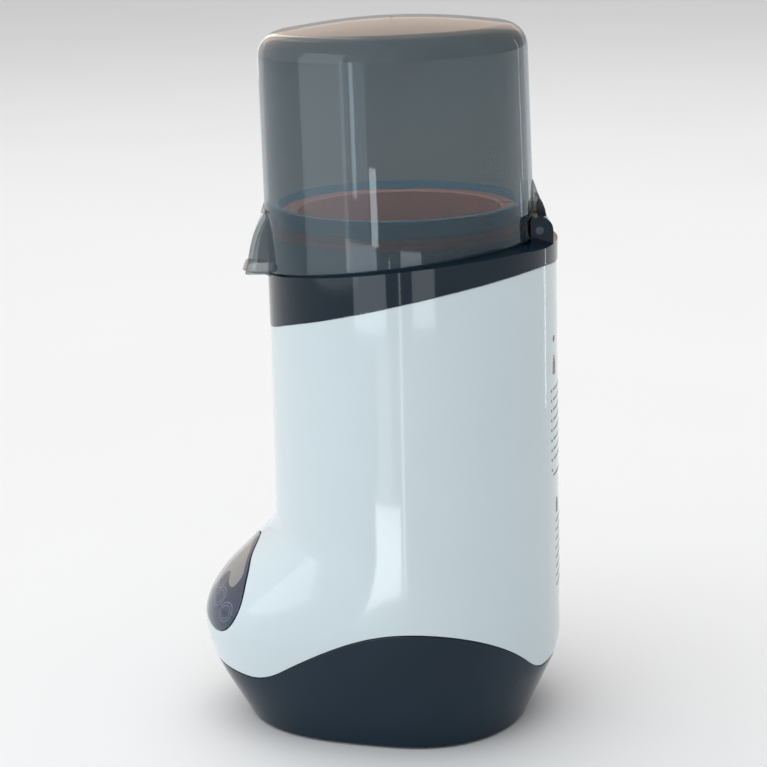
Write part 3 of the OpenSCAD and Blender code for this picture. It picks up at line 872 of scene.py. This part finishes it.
def panel_light(name, place_at, look_at, width, height, watts, colour=(1, 1, 1), gloss=True,
                fill=True):
    """A rectangular light; gloss lights show in reflections, fill lights light up surfaces."""
    data = bpy.data.lights.new(name, "AREA")
    data.shape = "RECTANGLE"
    data.size, data.size_y = width, height
    data.energy = watts
    data.color = colour
    light = bpy.data.objects.new(name, data)
    light.location = place_at
    light.rotation_euler = (Vector(look_at) - Vector(place_at)).to_track_quat("-Z", "Y").to_euler()
    light.visible_camera = False
    light.visible_glossy = gloss
    light.visible_diffuse = fill
    bpy.context.scene.collection.objects.link(light)


def card(name, turn_from, turn_to, low, high, distance, radiance, colour=(1, 1, 1)):
    """An upright bright card beside the object that only shows as a reflection. It covers a
    range of directions about the origin, 90 being the camera's side and 0 the front."""
    turn = math.radians((turn_from + turn_to) / 2)
    width = 2 * distance * math.tan(math.radians(turn_to - turn_from) / 2)
    tall = high - low
    at = (distance * math.sin(turn), -distance * math.cos(turn), (low + high) / 2)
    panel_light(name, at, (0, 0, at[2]), width, tall, radiance * math.pi * width * tall, colour,
                fill=False)


def studio_world():
    """A pale room, brighter towards the front of the object than behind it."""
    world = bpy.data.worlds.new("studio")
    bpy.context.scene.world = world
    world.use_nodes = True
    t = world.node_tree
    sky = t.nodes["Background"]
    coord = t.nodes.new("ShaderNodeTexCoord")
    parts = t.nodes.new("ShaderNodeSeparateXYZ")
    t.links.new(coord.outputs["Generated"], parts.inputs[0])
    ramp = t.nodes.new("ShaderNodeMapRange")
    ramp.interpolation_type = "SMOOTHSTEP"
    ramp.inputs["From Min"].default_value = -0.9
    ramp.inputs["From Max"].default_value = 0.9
    ramp.inputs["To Min"].default_value = 1.15
    ramp.inputs["To Max"].default_value = 0.3
    t.links.new(parts.outputs["Y"], ramp.inputs["Value"])
    t.links.new(ramp.outputs["Result"], sky.inputs["Strength"])
    sideways = t.nodes.new("ShaderNodeMapRange")
    sideways.interpolation_type = "SMOOTHSTEP"
    sideways.inputs["From Min"].default_value = -0.9
    sideways.inputs["From Max"].default_value = 0.1
    t.links.new(parts.outputs["X"], sideways.inputs["Value"])
    tone = t.nodes.new("ShaderNodeMix")
    tone.data_type = "RGBA"
    tone.inputs["A"].default_value = (0.78, 0.68, 0.61, 1)
    tone.inputs["B"].default_value = (0.93, 0.965, 1.0, 1)
    t.links.new(sideways.outputs["Result"], tone.inputs["Factor"])
    t.links.new(tone.outputs["Result"], sky.inputs["Color"])


stage_floor()
studio_world()
panel_light("overhead", (-0.4, 0, 2.2), (-0.3, 0, 0), 3.0, 3.0, 29, gloss=False)
panel_light("inside", (0, 0.0098, 0.262), (0, 0.0098, 0.1), 0.05, 0.05, 0.10, gloss=False)
card("low_window", 63, 81, 0.002, 0.045, 0.22, 6, (0.92, 0.97, 1.0))
card("mid_window", 66, 76, 0.05, 0.12, 0.22, 1.2, (0.92, 0.97, 1.0))
card("collar_window", 50, 74, 0.125, 0.165, 0.22, 3.5, (0.85, 0.94, 1.0))
card("side_window", 92, 107, 0.13, 0.165, 0.22, 3, (0.9, 0.95, 1.0))
card("thin_line", 83, 84.2, 0.002, 0.16, 0.22, 5, (0.9, 0.97, 1.0))
card("dome_line", 58, 61, 0.185, 0.27, 0.22, 4, (0.8, 0.92, 1.0))
card("dome_glow", 50, 70, 0.165, 0.27, 0.221, 1.1, (0.75, 0.88, 1.0))
card("dome_streak", 71, 76, 0.165, 0.2, 0.22, 7, (0.9, 0.97, 1.0))
card("front_card", 8, 50, 0.1, 0.5, 0.4, 1.5, (0.92, 0.97, 1.0))
card("rear_line", 210.5, 211.5, 0.0, 0.15, 0.5, 4)
card("rear_dome_line", 215.5, 216.5, 0.15, 0.4, 0.5, 3)
card("warm_card", 282, 288, 0.2, 1.0, 0.5, 1.5, (1.0, 0.93, 0.78))
card("crown_card", 245, 295, 0.42, 0.95, 1.2, 0.72, (1.0, 0.66, 0.44))

camera = bpy.data.cameras.new("camera")
camera.lens = 86.27
camera.sensor_width = 36
camera.clip_start = 0.01
camera.clip_end = 50
view = bpy.data.objects.new("camera", camera)
CAMERA_AT = (0.680, 0.00226, 0.317)
pitch, roll = math.radians(15.2), math.radians(1.4)
side = Vector((0, 1, 0))
rise = Vector((-math.sin(pitch), 0, math.cos(pitch)))
right = side * math.cos(roll) - rise * math.sin(roll)
over = rise * math.cos(roll) + side * math.sin(roll)
back = right.cross(over)
view.matrix_world = Matrix((
    (right.x, over.x, back.x, CAMERA_AT[0]),
    (right.y, over.y, back.y, CAMERA_AT[1]),
    (right.z, over.z, back.z, CAMERA_AT[2]),
    (0, 0, 0, 1)))
bpy.context.scene.collection.objects.link(view)
bpy.context.scene.camera = view
bpy.context.scene.view_settings.view_transform = "Standard"
